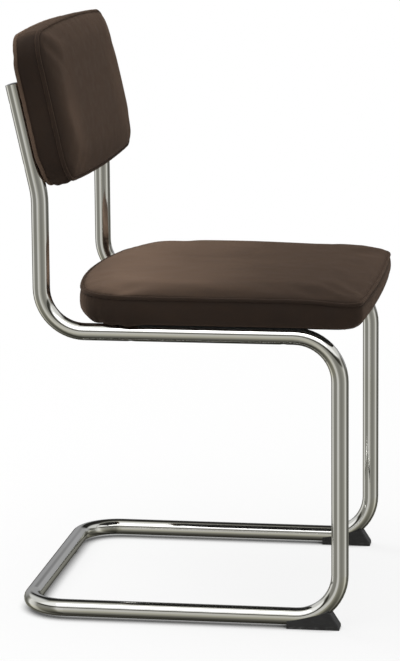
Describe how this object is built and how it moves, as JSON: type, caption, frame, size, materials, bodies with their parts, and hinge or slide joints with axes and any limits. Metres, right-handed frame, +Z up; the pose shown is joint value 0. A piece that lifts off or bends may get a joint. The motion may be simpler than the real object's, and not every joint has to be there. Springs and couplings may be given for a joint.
{
  "type": "cantilever chair",
  "caption": "Cantilever dining chair: one bent chromed tube with wedge glides carries a velvet padded seat and a velvet padded back.",
  "frame": {"origin": "on the floor, at the centre of the footprint of the whole chair's bounding box", "axes": "+Z up, +X to the sitter's left across the chair, -Y the way the sitter faces"},
  "size_m": [0.498, 0.5173, 0.8662],
  "materials": {
    "chrome": "polished",
    "glide_plastic": "satin",
    "black_cloth": "matte",
    "plywood": "satin",
    "zinc_steel": "satin",
    "foam": "matte",
    "velvet": "matte"
  },
  "bodies": {
    "root": {"tube_frame": "chrome", "tube_cap_left": "chrome", "tube_cap_right": "chrome", "front_glide_left": "glide_plastic", "front_glide_right": "glide_plastic", "rear_glide_left": "glide_plastic", "rear_glide_right": "glide_plastic", "seat_dust_cover": "black_cloth", "seat_board": "plywood", "seat_threaded_inserts": "zinc_steel", "seat_screws": "zinc_steel", "seat_foam": "foam", "seat_cover_band": "velvet", "seat_cover_top": "velvet", "seat_welt": "velvet", "back_cover_rear": "velvet", "back_board": "plywood", "back_threaded_inserts": "zinc_steel", "back_screws": "zinc_steel", "back_foam": "foam", "back_cover_band": "velvet", "back_cover_front": "velvet", "back_front_welt": "velvet", "back_rear_welt": "velvet"}
  },
  "joints": []
}
